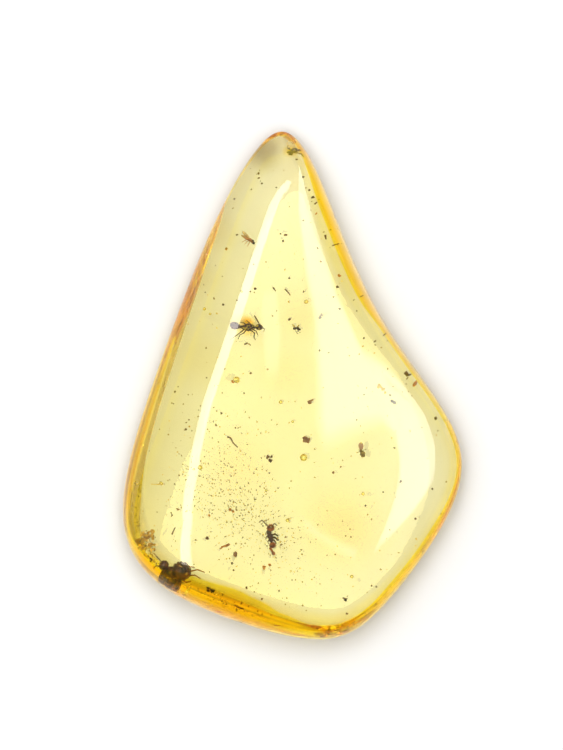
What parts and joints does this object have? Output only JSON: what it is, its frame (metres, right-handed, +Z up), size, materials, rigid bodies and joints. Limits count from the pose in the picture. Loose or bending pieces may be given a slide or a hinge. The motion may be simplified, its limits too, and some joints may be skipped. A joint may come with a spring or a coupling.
{
  "type": "insect in amber",
  "caption": "Polished teardrop of clear golden amber with insects, plant debris and bubbles sealed inside, lying on a flat face.",
  "frame": {"origin": "on the plane of the flat face that the drop lies on, under the middle of its outline", "axes": "+Z up out of the table, +Y towards the pointed end, +X to the right seen from above"},
  "size_m": [0.0402, 0.0604, 0.011],
  "materials": {
    "amber": "polished, clear golden"
  },
  "bodies": {
    "root": {"amber": "amber"}
  },
  "joints": []
}
